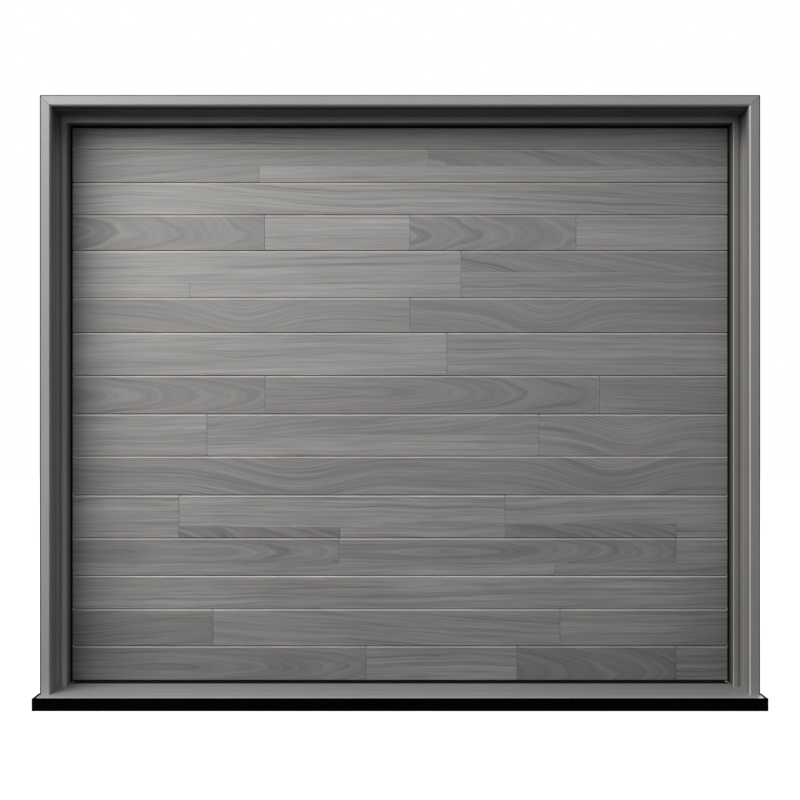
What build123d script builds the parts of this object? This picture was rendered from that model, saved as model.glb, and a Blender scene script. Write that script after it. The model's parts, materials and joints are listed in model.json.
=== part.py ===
from build123d import *
import os

# Garage door: a counterweighted up-and-over door with a boarded leaf, complete with its frame.
# The leaf rises on two rollers in upright guides while two link arms pull it inwards, so its foot
# swings out and it ends nearly level under the head. Each arm is as long as the distance from its
# pin on the leaf to the roller, which keeps the roller on a straight upright line.
# X runs along the opening, Y into the garage and Z up. The origin is on the ground, at the middle
# of the opening, below the front face of the casing. Every size is in millimetres.

# Opening between the inner frame's jambs, and the leaf's gaps in it
clear_width = 2510.0
clear_height = 2123.0
side_gap = 5.0
head_gap = 7.0
foot_gap = 9.5

# Threshold: a plinth with a metal sill on it, let in behind a low front lip
plinth_height = 44.0
plinth_overhang = 14.0
plinth_reach = 48.0
lip_width = 2.5
lip_rise = 2.6
sill_thickness = 3.0
sill_nose = 18.0
sill_nose_drop = 1.0
threshold_tail = 8.0
threshold_clearance = 4.0
floor_seal_width = 30.0
floor_seal_depth = 2.0
floor_seal_setback = 41.0

# Casing on the wall's face, mitred at the corners
casing_width = 36.0
casing_depth = 33.0
casing_chamfer = 5.0
casing_ease = 1.5
casing_side_reveal = 0.0
casing_head_reveal = 8.0
gasket_width = 3.5
gasket_setback = 2.0

# Liner through the wall and the inner frame standing on it
liner_thickness = 22.0
frame_thickness = 23.0
frame_setback = 122.0
frame_ease = 3.0
edge_seal_thickness = 4.0
edge_seal_lead = 5.0

# Leaf, front to back: boards, sheet, welded tubes
leaf_setback = 59.0
board_thickness = 18.0
board_top_bevel = 4.5
board_foot_bevel = 2.0
board_gap = 2.0
sheet_thickness = 2.0
tube_depth = 40.0
tube_width = 40.0
tube_corner = 4.0
stud_width = 30.0
stud_count = 3
foot_seal_height = 4.5
foot_seal_inset = 3.0
# The courses of boards from the top down, each as its share of the leaf's height
course_shares = (80.5, 128, 123, 137, 179.5, 133.5, 164, 146.5, 161, 148.5, 164, 143.5, 127,
                 141.5, 129)

# Link arms and rollers
roller_height = 643.5
pivot_drop = 120.0
arm_width = 36.0
arm_thickness = 6.0
arm_clearance = 7.0
pin_radius = 8.0
running_clearance = 0.1
pin_head_radius = 13.0
pin_head_thickness = 1.6
pin_head_clearance = 0.3
spindle_radius = 7.0
roller_radius = 18.0
roller_width = 16.0
roller_play = 2.0
roller_ease = 1.5

# Uprights behind the wall: guide channel, counterweight casing and pivot bracket
channel_wall = 3.0
channel_depth = 28.0
channel_clearance = 9.0
channel_top_gap = 46.0
weight_casing_width = 70.0
weight_casing_depth = 70.0
weight_casing_corner = 5.0
cover_depth = 42.0
cover_thickness = 2.0
head_beam_height = 65.0
head_beam_depth = 52.0
head_beam_rise = 5.0
bracket_width = 46.0
bracket_height = 90.0
bracket_plate = 10.0
bracket_corner = 8.0
boss_radius = 20.0

# Fixings to the building
lintel_flange_height = 50.0
lintel_flange_thickness = 5.0
lintel_hole_margin = 100.0
lintel_hole_count = 4
foot_plate_length = 70.0
foot_plate_thickness = 6.0
foot_hole_spacing = 40.0
fixing_hole_radius = 6.0

# Heights
sill_top = plinth_height + sill_thickness
soffit = sill_top + clear_height
leaf_foot = sill_top + foot_gap
leaf_top = soffit - head_gap
leaf_height = leaf_top - leaf_foot
roller_z = leaf_foot + roller_height
pivot_z = soffit - pivot_drop
arm_length = (pivot_z - roller_z) / 2
arm_pin_z = roller_z + arm_length

# Depths
leaf_front = frame_setback + leaf_setback
tube_front = leaf_front + board_thickness + sheet_thickness
leaf_back = tube_front + tube_depth
pin_y = tube_front + tube_depth / 2
channel_half = roller_radius + roller_play + channel_wall
wall_back = pin_y - channel_half

# Half widths
frame_x = clear_width / 2
leaf_x = frame_x - side_gap
liner_x = frame_x + frame_thickness
liner_outer_x = liner_x + liner_thickness
casing_x = liner_x + casing_side_reveal
casing_outer_x = casing_x + casing_width
gasket_outer_x = casing_outer_x + gasket_width
plinth_x = gasket_outer_x + plinth_overhang
arm_x = leaf_x + arm_clearance
arm_outer_x = arm_x + arm_thickness
channel_x = arm_outer_x + channel_clearance
weight_casing_x = channel_x + channel_depth
weight_casing_outer_x = weight_casing_x + weight_casing_width
tail_x = channel_x - threshold_clearance

# Head heights that follow the same steps as the sides
liner_z = soffit + frame_thickness
liner_outer_z = liner_z + liner_thickness
casing_z = liner_z + casing_head_reveal
casing_outer_z = casing_z + casing_width
gasket_outer_z = casing_outer_z + gasket_width
head_beam_z = soffit + head_beam_rise
head_beam_top = head_beam_z + head_beam_height


def block(x0, x1, y0, y1, z0, z1):
    """A square-edged piece between two corners."""
    corner = Location((x0, y0, z0))
    return corner * Box(x1 - x0, y1 - y0, z1 - z0, align=(Align.MIN, Align.MIN, Align.MIN))


def upright_bar(section, inner_x, z0, z1):
    """A right-hand bar: its section is (distance outwards from inner_x, y)."""
    plane = Plane(origin=(inner_x, 0, z0), x_dir=(1, 0, 0), z_dir=(0, 0, 1))
    return extrude(plane * Polygon(*section, align=None), amount=z1 - z0, dir=(0, 0, 1))


def head_bar(section, inner_z, half):
    """A level bar over the opening: its section is (distance upwards from inner_z, y)."""
    plane = Plane(origin=(half, 0, inner_z), x_dir=(0, 0, 1), z_dir=(-1, 0, 0))
    return extrude(plane * Polygon(*section, align=None), amount=2 * half, dir=(-1, 0, 0))


def mitred_set(section, inner_x, inner_z, width, foot):
    """Two legs and a head of one section, cut at 45 degrees where they meet at each corner."""
    outer_x, outer_z = inner_x + width, inner_z + width
    leg = upright_bar(section, inner_x, foot, outer_z)
    head = head_bar(section, inner_z, outer_x)
    mitre = Plane(origin=(inner_x, 0, inner_z), x_dir=(0, 1, 0), z_dir=(-1, 0, 1))
    other = Plane(origin=(-inner_x, 0, inner_z), x_dir=(0, 1, 0), z_dir=(1, 0, 1))
    right = split(leg, bisect_by=mitre, keep=Keep.BOTTOM)
    head = split(head, bisect_by=mitre, keep=Keep.TOP)
    head = split(head, bisect_by=other, keep=Keep.TOP)
    return mirror(right, about=Plane.YZ), right, head


def cross_pin(radius, x0, x1, y, z):
    """A round bar along X from x0 to x1."""
    plane = Plane(origin=(x0, y, z), x_dir=(0, 1, 0), z_dir=(1, 0, 0))
    return extrude(plane * Circle(radius), amount=x1 - x0)


def holes(plane, spacing, count, depth):
    """A row of fixing holes along the plane's X, as solids to cut away."""
    spots = GridLocations(spacing, 1, count, 1)
    row = Sketch() + [spot * Circle(fixing_hole_radius) for spot in spots]
    return extrude(plane * row, amount=depth)


def pair(name, right):
    """Names a right-hand piece and its mirror image."""
    parts[name + "_right"] = right
    parts[name + "_left"] = mirror(right, about=Plane.YZ)


parts = {}

# Plinth and sill: they pass across the wall's face, run back through the wall between its reveals,
# and end between the uprights
threshold_back = leaf_back + threshold_tail
half_plan = (
    (plinth_x, -plinth_reach), (plinth_x, casing_depth), (liner_outer_x, casing_depth),
    (liner_outer_x, wall_back), (tail_x, wall_back), (tail_x, threshold_back),
)
other_half = tuple((-x, y) for x, y in reversed(half_plan))
plan = Polygon(*half_plan, *other_half, align=None)
plinth = extrude(plan, amount=plinth_height, dir=(0, 0, 1))
sill_front = lip_width - plinth_reach
parts["base_plinth"] = plinth + block(-plinth_x, plinth_x, -plinth_reach, sill_front, 0,
                                      plinth_height + lip_rise)
sill_section = Plane(origin=(-gasket_outer_x, 0, 0), x_dir=(0, 1, 0), z_dir=(1, 0, 0)) * Polygon(
    (sill_front, plinth_height), (threshold_back, plinth_height), (threshold_back, sill_top),
    (sill_front + sill_nose, sill_top), (sill_front, sill_top - sill_nose_drop), align=None,
)
sill = extrude(sill_section, amount=2 * gasket_outer_x, dir=(1, 0, 0))
sill = sill & extrude(plan, amount=sill_top, dir=(0, 0, 1))
seal_front = frame_setback + floor_seal_setback
floor_seal = block(-leaf_x, leaf_x, seal_front, seal_front + floor_seal_width,
                   sill_top - floor_seal_depth, sill_top)
parts["sill"] = sill - floor_seal
parts["floor_seal"] = floor_seal

# Casing with a chamfered inner arris, and the dark gasket that shows round its outer edge
casing_section = (
    (0, casing_depth), (casing_width, casing_depth), (casing_width, casing_ease),
    (casing_width - casing_ease, 0), (casing_chamfer, 0), (0, casing_chamfer),
)
sides = mitred_set(casing_section, casing_x, casing_z, casing_width, sill_top)
parts["casing_left"], parts["casing_right"], parts["casing_head"] = sides
gasket_section = (
    (0, casing_depth), (gasket_width, casing_depth), (gasket_width, gasket_setback),
    (0, gasket_setback),
)
sides = mitred_set(gasket_section, casing_outer_x, casing_outer_z, gasket_width, sill_top)
parts["gasket_left"], parts["gasket_right"], parts["gasket_head"] = sides

# Liner boards through the wall: the head board lies on the side boards
pair("liner", block(liner_x, liner_outer_x, casing_depth, wall_back, sill_top, liner_z))
parts["liner_head"] = block(-liner_outer_x, liner_outer_x, casing_depth, wall_back,
                            liner_z, liner_outer_z)

# Inner frame with a rebate in its back edge for the black edge seal
seal_start = leaf_front - edge_seal_lead
frame_section = (
    (0, frame_setback + frame_ease), (frame_ease, frame_setback), (frame_thickness, frame_setback),
    (frame_thickness, wall_back), (edge_seal_thickness, wall_back),
    (edge_seal_thickness, seal_start), (0, seal_start),
)
sides = mitred_set(frame_section, frame_x, soffit, frame_thickness, sill_top)
parts["jamb_left"], parts["jamb_right"], parts["frame_head"] = sides
seal_section = (
    (0, seal_start), (edge_seal_thickness, seal_start), (edge_seal_thickness, wall_back),
    (0, wall_back),
)
sides = mitred_set(seal_section, frame_x, soffit, edge_seal_thickness, sill_top)
parts["edge_seal_left"], parts["edge_seal_right"], parts["edge_seal_head"] = sides

# Guide channels, open towards the leaf, on counterweight casings with a cover clipped round the back
channel_top = pivot_z - channel_top_gap
channel_section = (
    (0, wall_back), (channel_depth, wall_back), (channel_depth, wall_back + 2 * channel_half),
    (0, wall_back + 2 * channel_half), (0, wall_back + 2 * channel_half - channel_wall),
    (channel_depth - channel_wall, wall_back + 2 * channel_half - channel_wall),
    (channel_depth - channel_wall, wall_back + channel_wall), (0, wall_back + channel_wall),
)
pair("guide_channel", upright_bar(channel_section, channel_x, 0, channel_top))
weight_casing_back = wall_back + weight_casing_depth
cover_front = wall_back + weight_casing_depth - cover_depth
weight_casing = block(weight_casing_x, weight_casing_outer_x - cover_thickness, wall_back,
                      weight_casing_back - cover_thickness, 0, head_beam_top)
cover = block(weight_casing_x, weight_casing_outer_x, cover_front, weight_casing_back,
              foot_plate_thickness, head_beam_top - cover_thickness)
cover = fillet(cover.edges().filter_by(Axis.Z).group_by(Axis.Y)[-1], weight_casing_corner)
pair("counterweight_casing", weight_casing + cover)

# Head beam between the counterweight casings, with the flange that bolts to the lintel
parts["head_beam"] = block(-weight_casing_x, weight_casing_x, wall_back,
                           wall_back + head_beam_depth, head_beam_z, head_beam_top)
lintel_flange = block(-weight_casing_x, weight_casing_x, wall_back,
                      wall_back + lintel_flange_thickness,
                      head_beam_top, head_beam_top + lintel_flange_height)
hole_plane = Plane(origin=(0, wall_back, head_beam_top + lintel_flange_height / 2),
                   x_dir=(1, 0, 0), z_dir=(0, 1, 0))
lintel_hole_spacing = 2 * (weight_casing_x - lintel_hole_margin) / (lintel_hole_count - 1)
parts["lintel_flange"] = lintel_flange - holes(
    hole_plane, lintel_hole_spacing, lintel_hole_count, lintel_flange_thickness)

# Foot plates behind the uprights, bolted to the floor
foot_front = weight_casing_back - cover_thickness
foot_mid_x = (weight_casing_x + weight_casing_outer_x) / 2
foot_mid_y = foot_front + foot_plate_length / 2
foot_plate = block(weight_casing_x, weight_casing_outer_x, foot_front,
                   foot_front + foot_plate_length, 0, foot_plate_thickness)
hole_plane = Plane(origin=(foot_mid_x, foot_mid_y, 0), x_dir=(1, 0, 0), z_dir=(0, 0, 1))
pair("foot_plate", foot_plate - holes(hole_plane, foot_hole_spacing, 2, foot_plate_thickness))

# Pivot brackets: a plate on the counterweight casing, a boss, a pin and the pin's thin head
bracket_plane = Plane(origin=(weight_casing_x, pin_y, pivot_z), x_dir=(0, 1, 0), z_dir=(-1, 0, 0))
bracket = extrude(bracket_plane * RectangleRounded(bracket_width, bracket_height, bracket_corner),
                  amount=bracket_plate)
pin_end = arm_x - pin_head_clearance
bracket += cross_pin(boss_radius, arm_outer_x + roller_play, weight_casing_x - bracket_plate,
                     pin_y, pivot_z)
bracket += cross_pin(pin_radius, pin_end, arm_outer_x + roller_play, pin_y, pivot_z)
bracket += cross_pin(pin_head_radius, pin_end - pin_head_thickness, pin_end, pin_y, pivot_z)
pair("pivot_bracket", bracket)

# Link arms: flat bars with round ends and a bore at each end
arm_plane = Plane(origin=(arm_x, pin_y, (pivot_z + arm_pin_z) / 2), x_dir=(0, 0, 1),
                  z_dir=(1, 0, 0))
arm = extrude(arm_plane * SlotCenterToCenter(arm_length, arm_width), amount=arm_thickness)
for bore_z in (pivot_z, arm_pin_z):
    arm -= cross_pin(pin_radius + running_clearance, arm_x, arm_outer_x, pin_y, bore_z)
pair("link_arm", arm)

# Arm pins on the leaf's edges, each with a thin head outside the arm
head_start = arm_outer_x + pin_head_clearance
arm_pin = cross_pin(pin_radius, leaf_x, head_start, pin_y, arm_pin_z)
arm_pin += cross_pin(pin_head_radius, head_start, head_start + pin_head_thickness, pin_y, arm_pin_z)
pair("arm_pin", arm_pin)

# Guide rollers on their spindles
roller_start = channel_x + (channel_depth - channel_wall - roller_width) / 2
roller = cross_pin(roller_radius, roller_start, roller_start + roller_width, pin_y, roller_z)
roller = chamfer(roller.edges().filter_by(GeomType.CIRCLE), roller_ease)
roller += cross_pin(spindle_radius, leaf_x, roller_start, pin_y, roller_z)
pair("guide_roller", roller)

# Leaf boards: each course is bevelled along both front edges, more at its top, where water runs
# off, and the lowest one keeps a square foot
course_unit = leaf_height / sum(course_shares)
boards = []
course_top = leaf_top
for number, share in enumerate(course_shares):
    course_foot = course_top - share * course_unit
    low = course_foot + (board_gap / 2 if number < len(course_shares) - 1 else 0)
    high = course_top - (board_gap / 2 if number > 0 else 0)
    corners = [(leaf_front + board_thickness, low), (leaf_front + board_thickness, high),
               (leaf_front + board_top_bevel, high), (leaf_front, high - board_top_bevel)]
    if number < len(course_shares) - 1:
        corners += [(leaf_front, low + board_foot_bevel), (leaf_front + board_foot_bevel, low)]
    else:
        corners += [(leaf_front, low)]
    board_plane = Plane(origin=(-leaf_x, 0, 0), x_dir=(0, 1, 0), z_dir=(1, 0, 0))
    board = board_plane * Polygon(*corners, align=None)
    boards.append(extrude(board, amount=2 * leaf_x, dir=(1, 0, 0)))
    course_top = course_foot
parts["leaf_boards"] = Compound(children=boards)

# Sheet behind the boards and the welded tubes behind the sheet
parts["leaf_sheet"] = block(-leaf_x, leaf_x, leaf_front + board_thickness, tube_front,
                            leaf_foot, leaf_top)


def tube(x0, x1, z0, z1, axis):
    """A square tube of the leaf's frame with rounded long edges."""
    bar = block(x0, x1, tube_front, leaf_back, z0, z1)
    return fillet(bar.edges().filter_by(axis).group_by(Axis.Y)[-1], tube_corner)


inner_x = leaf_x - tube_width
pair("leaf_stile", tube(inner_x, leaf_x, leaf_foot, leaf_top, Axis.Z))
parts["leaf_rail_top"] = tube(-inner_x, inner_x, leaf_top - tube_width, leaf_top, Axis.X)
parts["leaf_rail_foot"] = tube(-inner_x, inner_x, leaf_foot, leaf_foot + tube_width, Axis.X)
stud_step = 2 * inner_x / (stud_count + 1)
for number in range(stud_count):
    middle = -inner_x + (number + 1) * stud_step
    parts["leaf_stud_" + str(number + 1)] = tube(
        middle - stud_width / 2, middle + stud_width / 2,
        leaf_foot + tube_width, leaf_top - tube_width, Axis.Z)
foot_seal = block(-leaf_x, leaf_x, leaf_front + foot_seal_inset, leaf_back - foot_seal_inset,
                  leaf_foot - foot_seal_height, leaf_foot)
foot_seal = fillet(foot_seal.edges().filter_by(Axis.X).group_by(Axis.Z)[0], foot_seal_height / 2)
parts["foot_seal"] = foot_seal

os.makedirs("parts", exist_ok=True)
for name, piece in parts.items():
    piece.label = name
    export_step(piece, "parts/" + name + ".step")
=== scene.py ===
"""Garage door: timber boards, fasteners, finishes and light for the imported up-and-over door.

Lengths are in metres. X runs to the right, Y into the wall and Z up, so the outside faces -Y."""
import json
import bpy
import numpy as np
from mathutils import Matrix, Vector


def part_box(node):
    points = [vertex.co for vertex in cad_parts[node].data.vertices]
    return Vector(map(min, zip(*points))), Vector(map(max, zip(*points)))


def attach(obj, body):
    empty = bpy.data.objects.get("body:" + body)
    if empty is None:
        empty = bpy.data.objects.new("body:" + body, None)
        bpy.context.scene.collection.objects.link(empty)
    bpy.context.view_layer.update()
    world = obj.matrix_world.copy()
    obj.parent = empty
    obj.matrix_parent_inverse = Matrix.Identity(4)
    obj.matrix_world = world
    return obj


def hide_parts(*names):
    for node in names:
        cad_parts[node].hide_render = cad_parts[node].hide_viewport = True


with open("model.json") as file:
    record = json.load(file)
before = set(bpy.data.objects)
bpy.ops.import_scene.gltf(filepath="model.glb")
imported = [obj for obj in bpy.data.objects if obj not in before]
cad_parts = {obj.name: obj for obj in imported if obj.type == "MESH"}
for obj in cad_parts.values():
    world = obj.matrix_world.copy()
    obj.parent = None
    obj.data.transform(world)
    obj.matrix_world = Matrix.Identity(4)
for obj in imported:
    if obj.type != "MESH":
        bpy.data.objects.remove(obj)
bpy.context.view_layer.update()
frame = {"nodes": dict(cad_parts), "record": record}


def corners(node):
    """The lowest and highest corner of a CAD node, in metres."""
    return tuple(np.array(corner, float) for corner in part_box(node))


# Surfaces

def tile(rows, columns, closed=False):
    """Faces of a grid: point (i, j) is joined to (i+1, j), (i+1, j+1) and (i, j+1).

    A closed grid also joins its last column to its first."""
    i, j = np.meshgrid(np.arange(rows - 1), np.arange(columns if closed else columns - 1), indexing="ij")
    k = (j + 1) % columns
    faces = np.stack([i * columns + j, (i + 1) * columns + j, (i + 1) * columns + k, i * columns + k], -1)
    return faces.reshape(-1, 4)


def gather(shapes):
    """Joins shapes into one: each shape's face numbers are raised by the points before it."""
    points, faces, start = [], [], 0
    for shape_points, shape_faces in shapes:
        points.append(shape_points)
        faces.extend((np.asarray(face) + start).tolist() for face in shape_faces)
        start += len(shape_points)
    return np.concatenate(points), faces


def make_piece(name, points, faces, material, body, smooth=True):
    """Puts points and faces into a mesh object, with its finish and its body."""
    mesh = bpy.data.meshes.new(name)
    mesh.from_pydata(points.tolist(), [], faces)
    mesh.polygons.foreach_set("use_smooth", np.full(len(mesh.polygons), smooth))
    mesh.materials.append(material)
    mesh.update()
    piece = bpy.data.objects.new(name, mesh)
    bpy.context.scene.collection.objects.link(piece)
    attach(piece, body)
    return piece


def point_values(piece, name, values):
    """Stores three numbers for every point of a mesh under a name that a finish can read."""
    layer = piece.data.attributes.new(name, "FLOAT_VECTOR", "POINT")
    layer.data.foreach_set("vector", np.ascontiguousarray(values, dtype=np.float32).ravel())


# Finishes

class Finish:
    """A material in the making: each method adds a node and returns its result."""

    def __init__(self, name):
        self.material = bpy.data.materials.new(name)
        self.material.use_nodes = True
        self.tree = self.material.node_tree
        self.shader = self.tree.nodes["Principled BSDF"]
        self.place = self.add("ShaderNodeTexCoord").outputs["Object"]

    def add(self, kind, **settings):
        node = self.tree.nodes.new(kind)
        for key, value in settings.items():
            setattr(node, key, value)
        return node

    def put(self, socket, value):
        """Links a result to a socket, or sets the socket when the value is a plain number."""
        if isinstance(value, bpy.types.NodeSocket):
            self.tree.links.new(value, socket)
        else:
            socket.default_value = value

    def calc(self, operation, first, second=0.0, third=0.0):
        node = self.add("ShaderNodeMath", operation=operation)
        for socket, value in zip(node.inputs, (first, second, third)):
            self.put(socket, value)
        return node.outputs[0]

    def times(self, first, second):
        return self.calc("MULTIPLY", first, second)

    def plus(self, value, amount, base):
        """base + amount times value."""
        return self.calc("MULTIPLY_ADD", value, amount, base)

    def swing(self, value, amount, base):
        """base + amount times (value - a half): noise lies round a half, so base stays the mean."""
        return self.calc("MULTIPLY_ADD", self.calc("SUBTRACT", value, 0.5), amount, base)

    def ramp(self, value, low, high, out_low=0.0, out_high=1.0):
        """Low to high becomes out_low to out_high along a smooth step, held at both ends."""
        node = self.add("ShaderNodeMapRange", interpolation_type="SMOOTHSTEP")
        for key, number in (("From Min", low), ("From Max", high), ("To Min", out_low),
                            ("To Max", out_high)):
            node.inputs[key].default_value = number
        self.put(node.inputs["Value"], value)
        return node.outputs["Result"]

    def line(self, value, middle, half):
        """1 where value is at middle, falling to 0 at half either side."""
        return self.ramp(self.calc("ABSOLUTE", self.calc("SUBTRACT", value, middle)), 0.0, half, 1.0, 0.0)

    def vector(self, x, y, z):
        node = self.add("ShaderNodeCombineXYZ")
        for socket, value in zip(node.inputs, (x, y, z)):
            self.put(socket, value)
        return node.outputs[0]

    def parts_of(self, vector):
        node = self.add("ShaderNodeSeparateXYZ")
        self.put(node.inputs[0], vector)
        return node.outputs

    def carried(self, name):
        """The three numbers that a mesh carries at its points under this name."""
        return self.parts_of(self.add("ShaderNodeAttribute", attribute_name=name).outputs["Vector"])

    def noise(self, vector, scale=1.0, detail=2.0, roughness=0.5):
        """Noise over a place; a scale of three numbers draws it out along an axis."""
        if isinstance(scale, tuple):
            stretch = self.add("ShaderNodeMapping")
            stretch.inputs["Scale"].default_value = scale
            self.put(stretch.inputs["Vector"], vector)
            vector, scale = stretch.outputs["Vector"], 1.0
        node = self.add("ShaderNodeTexNoise")
        node.inputs["Scale"].default_value = scale
        node.inputs["Detail"].default_value = detail
        node.inputs["Roughness"].default_value = roughness
        self.put(node.inputs["Vector"], vector)
        return node.outputs["Fac"]

    def along_grain(self, along, by_length, across, by_width, seed, detail=1.0, roughness=0.5):
        """Noise that is by_length per metre along the board and by_width per unit across it."""
        return self.noise(self.vector(self.times(along, by_length), self.times(across, by_width), seed),
                          1.0, detail, roughness)

    def chance(self, vector):
        """A random number that jumps from one whole number to the next."""
        node = self.add("ShaderNodeTexWhiteNoise")
        self.put(node.inputs["Vector"], vector)
        return node.outputs["Value"]

    def edges(self, radius):
        """How far the surface turns within a radius: 0 on a flat, 1 on an arris.

        It compares the face's normal with one that is rounded within the radius: their dot product
        is over 0.99 on a flat and under 0.80 on an arris."""
        rounded = self.add("ShaderNodeBevel", samples=6)
        rounded.inputs["Radius"].default_value = radius
        face = self.add("ShaderNodeNewGeometry")
        dot = self.add("ShaderNodeVectorMath", operation="DOT_PRODUCT")
        self.put(dot.inputs[0], rounded.outputs[0])
        self.put(dot.inputs[1], face.outputs["Normal"])
        return self.ramp(dot.outputs["Value"], 0.80, 0.99, 1.0, 0.0)

    def relief(self, height, strength, distance):
        node = self.add("ShaderNodeBump")
        node.inputs["Strength"].default_value = strength
        node.inputs["Distance"].default_value = distance
        self.put(node.inputs["Height"], height)
        self.put(self.shader.inputs["Normal"], node.outputs[0])

    def done(self, tone, base, tint, roughness, shine=0.5, metal=0.0):
        """Colour = tone times a base grey times a tint of red, green and blue; base, shine and metal
        are plain numbers."""
        level = self.times(tone, base)
        colour = self.vector(*(self.times(level, share) for share in tint))
        self.put(self.shader.inputs["Base Color"], colour)
        self.put(self.shader.inputs["Roughness"], roughness)
        self.shader.inputs["Specular IOR Level"].default_value = shine
        self.shader.inputs["Metallic"].default_value = metal
        return self.material


def timber_finish():
    """Grey stained timber.

    A ring is a line of equal distance from the tree's heart: the root of (across squared + depth
    squared), plus a drift along the board, plus a slow wander. Late wood is a saw-tooth over that
    distance, pale early wood follows its sharp side, and noise drawn out along the board breaks it.
    Rings and hairlines are counted per metre from the heart; the other named numbers are what each
    pattern adds to the tone."""
    rings, hairlines = 100.0, 44.0
    streaky, fibrous, cloudy = 0.66, 0.60, 0.26
    late_wood, early_wood, hairline = -0.19, 0.21, -0.34
    arris_rub, bevel_highlight = 0.12, 0.66
    f = Finish("grey_timber_grain")
    along, across, depth = f.carried("grain_cut")
    drift, shade, seed = f.carried("board_tone")
    figure, edge, pale = f.carried("board_look")
    square = f.calc("MULTIPLY_ADD", across, across, f.times(depth, depth))
    heart = f.calc("ADD", f.calc("SQRT", square), drift)
    heart = f.swing(f.along_grain(along, 2.6, across, 8.0, seed, 1.5), 0.030, heart)
    heart = f.swing(f.along_grain(along, 12.0, across, 26.0, seed), 0.005, heart)
    # Rings of uneven width
    uneven = f.noise(f.vector(f.times(heart, 34.0), seed, 0.0), 1.0, 1.0)
    count = f.plus(uneven, 2.2, f.times(heart, rings))
    ring, share = f.calc("FLOOR", count), f.calc("FRACT", count)
    force = f.ramp(f.chance(f.vector(ring, seed, 3.0)), 0.1, 1.0, 0.10, 1.0)
    broken = f.ramp(f.along_grain(along, 2.4, ring, 7.3, seed), 0.38, 0.62, 0.2, 1.0)
    force = f.times(f.times(force, broken), f.plus(figure, 0.62, 0.38))
    late = f.times(f.calc("SUBTRACT", f.ramp(share, 0.25, 0.86), f.ramp(share, 0.90, 0.97)), force)
    early = f.times(f.calc("SUBTRACT", f.ramp(share, 0.0, 0.04), f.ramp(share, 0.05, 0.20)), force)
    # Hairlines: narrow dark lines at a few rings only
    hair_count = f.plus(uneven, 3.4, f.times(heart, hairlines))
    kept = f.ramp(f.along_grain(along, 1.5, f.calc("FLOOR", hair_count), 5.7, seed), 0.44, 0.62)
    kept = f.times(kept, f.plus(figure, -0.65, 1.0))
    hair = f.times(f.line(f.calc("FRACT", hair_count), 0.5, 0.10), kept)
    # Streaks and fibres run with the rings
    streak = f.along_grain(along, 0.9, heart, 60.0, seed, 3.0, 0.65)
    fibre = f.along_grain(along, 5.0, heart, 210.0, seed, 3.0, 0.65)
    cloud = f.along_grain(along, 1.5, across, 6.0, seed)
    tone = f.swing(streak, streaky, 1.0)
    tone = f.swing(fibre, fibrous, tone)
    tone = f.swing(cloud, cloudy, tone)
    # Rain splash has raised the grain towards the foot; arched boards are smoother between rings
    aside, _, height = f.parts_of(f.place)
    raised = f.times(f.ramp(height, 0.35, 1.5, 1.75, 1.18), f.plus(figure, -0.30, 1.08))
    tone = f.plus(f.calc("SUBTRACT", tone, 1.0), raised, 1.0)
    tone = f.plus(late, late_wood, tone)
    tone = f.plus(early, early_wood, tone)
    tone = f.plus(hair, hairline, tone)
    tone = f.times(f.calc("ADD", tone, 0.055), f.calc("POWER", shade, 1.65))
    # Arrises are rubbed pale, and the weather bevels get a painted highlight
    rubbed = f.ramp(f.noise(f.place, (9.0, 9.0, 30.0), 3.0), 0.42, 0.68)
    tone = f.plus(f.times(f.calc("SUBTRACT", 1.0, edge), rubbed), arris_rub, tone)
    tone = f.plus(pale, bevel_highlight, tone)
    # Painted light brightens the leaf, most on the upper courses, painted shade darkens the top close
    # under the head, and the tone falls darker towards the foot
    tone = f.times(tone, f.ramp(height, 1.93, 2.08, 1.04, 1.17))
    tone = f.times(tone, f.ramp(height, 2.09, 2.15, 1.0, 0.82))
    tone = f.times(tone, f.ramp(height, 0.02, 0.50, 0.72, 1.0))
    # Painted shade darkens the leaf's corners and, a little, its right part
    corner = f.times(f.ramp(f.calc("ABSOLUTE", aside), 0.85, 1.24),
                     f.ramp(f.calc("ABSOLUTE", f.calc("SUBTRACT", height, 1.15)), 0.45, 0.95))
    tone = f.times(tone, f.plus(corner, -0.17, f.ramp(aside, 0.10, 1.20, 1.0, 0.95)))
    f.relief(f.plus(hair, -0.4, f.plus(late, -0.5, f.times(fibre, 0.6))), 0.4, 0.0004)
    return f.done(tone, 0.320, (1.028, 1.0, 0.972), f.ramp(tone, 0.8, 1.15, 0.62, 0.50),
                  shine=0.35)


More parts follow.
